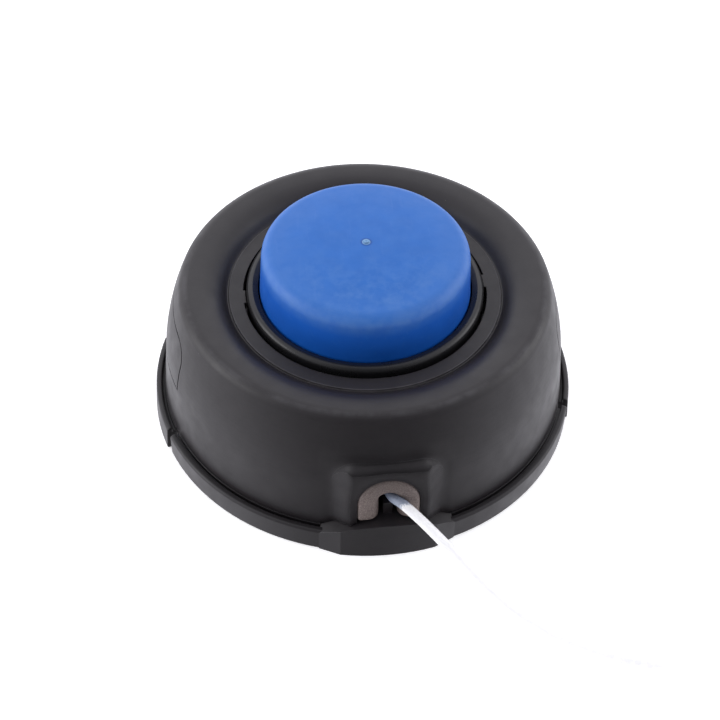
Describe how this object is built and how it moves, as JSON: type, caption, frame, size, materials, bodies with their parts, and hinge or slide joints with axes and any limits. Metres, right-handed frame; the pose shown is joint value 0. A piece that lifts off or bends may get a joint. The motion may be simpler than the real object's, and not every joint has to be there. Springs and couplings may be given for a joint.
{
  "type": "trimmer head",
  "caption": "Round tap-feed line head with a domed tap button, threaded drive hub, wound line and slotted line eyelets.",
  "frame": {"origin": "centre of the flange's underside, on the drive axis", "axes": "+Z along the drive axis towards the tap button, -Y towards the front eyelet, +X towards one latch"},
  "size_m": [0.1251, 0.1645, 0.0574],
  "materials": {
    "black_plastic": "satin, slightly grained",
    "glossy_black_plastic": "smooth, semi-gloss",
    "blue_plastic": "satin",
    "nylon_line": "smooth",
    "sintered_metal": "fine matt",
    "steel": "zinc plated",
    "spring_steel": "oiled",
    "bearing_steel": "ground",
    "cage_plastic": "matt",
    "seal_rubber": "matt"
  },
  "bodies": {
    "head": {"housing": "black_plastic", "thread_insert": "steel", "spring_seat": "steel", "cover": "black_plastic", "eyelet_front": "sintered_metal", "eyelet_rear": "sintered_metal", "line_tail": "nylon_line"},
    "coil": {"spring": "spring_steel"},
    "spool_unit": {"spool": "glossy_black_plastic", "line_winding": "nylon_line", "bearing_outer_ring": "bearing_steel", "bearing_seal_upper": "seal_rubber", "bearing_seal_lower": "seal_rubber", "retaining_ring": "spring_steel"},
    "button_unit": {"tap_button": "blue_plastic", "bearing_inner_ring": "bearing_steel", "button_screw": "steel", "button_washer": "steel"},
    "ball_set": {"bearing_cage": "cage_plastic", "bearing_balls": "bearing_steel"}
  },
  "joints": [
    {"name": "tap_press", "type": "slide", "parent": "head", "child": "coil", "axis": [0, 0, -1], "range_m": [0, 0.006], "stiffness_N_per_m": 1800, "springref_m": -0.008, "deforming": ["spring"]},
    {"name": "spool_turn", "type": "hinge", "parent": "coil", "child": "spool_unit", "pos_m": [0, 0, 0.02], "axis": [0, 0, 1], "range_deg": [-35, 0.4]},
    {"name": "button_spin", "type": "hinge", "parent": "spool_unit", "child": "button_unit", "pos_m": [0, 0, 0.04], "axis": [0, 0, 1], "continuous": true},
    {"name": "cage_spin", "type": "hinge", "parent": "spool_unit", "child": "ball_set", "pos_m": [0, 0, 0.04], "axis": [0, 0, 1], "continuous": true}
  ],
  "couplings": [
    {"joint": "cage_spin", "follows": "button_spin", "ratio": 0.4085}
  ]
}
